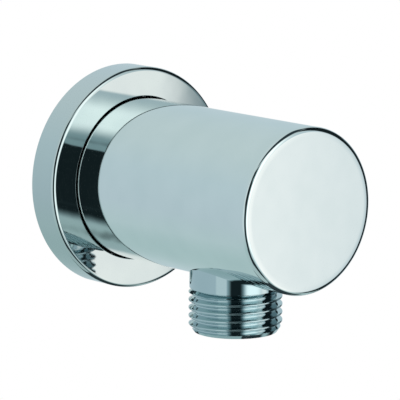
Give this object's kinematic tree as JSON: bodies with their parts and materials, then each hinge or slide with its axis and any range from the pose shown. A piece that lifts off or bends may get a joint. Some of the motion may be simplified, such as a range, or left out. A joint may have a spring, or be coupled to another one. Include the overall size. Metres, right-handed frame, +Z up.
{
  "type": "wall outlet elbow",
  "caption": "Round chromed wall elbow for a shower hose: cover flange, straight barrel with flat closed end, male threaded outlet below, non-return cartridge inside.",
  "frame": {"origin": "centre of the inlet thread's axis in the plane of the finished wall", "axes": "+Y into the wall along the inlet thread, -Y along the barrel into the room, +Z up, the hose outlet points along -Z"},
  "size_m": [0.051, 0.077, 0.0556],
  "materials": {
    "polished_chrome": "polished chrome plate on brass",
    "turned_brass": "turned, unplated",
    "black_rubber": "moulded EPDM rubber",
    "fibre_washer": "pressed fibre",
    "stainless_steel": "drawn stainless steel",
    "white_acetal": "moulded acetal",
    "grey_acetal": "moulded acetal"
  },
  "bodies": {
    "elbow": {"elbow_body": "polished_chrome", "wall_flange": "polished_chrome", "outlet_nipple": "polished_chrome", "inlet_nipple": "turned_brass", "flange_o_ring": "black_rubber", "wall_gasket": "black_rubber", "inlet_o_ring": "black_rubber", "spigot_o_ring_inner": "black_rubber", "spigot_o_ring_outer": "black_rubber", "check_valve_o_ring": "black_rubber", "outlet_washer": "fibre_washer", "grub_screw": "stainless_steel", "retaining_ring": "stainless_steel", "check_valve_spring": "stainless_steel", "check_valve_housing": "white_acetal", "check_valve_guide": "white_acetal"},
    "poppet": {"check_valve_poppet": "grey_acetal", "poppet_seal": "black_rubber"}
  },
  "joints": [
    {"name": "poppet_slide", "type": "slide", "parent": "elbow", "child": "poppet", "axis": [0, 0, -1], "range_m": [0, 0.0022], "stiffness_N_per_m": 150, "springref_m": -0.002, "deforming": ["check_valve_spring"]}
  ]
}
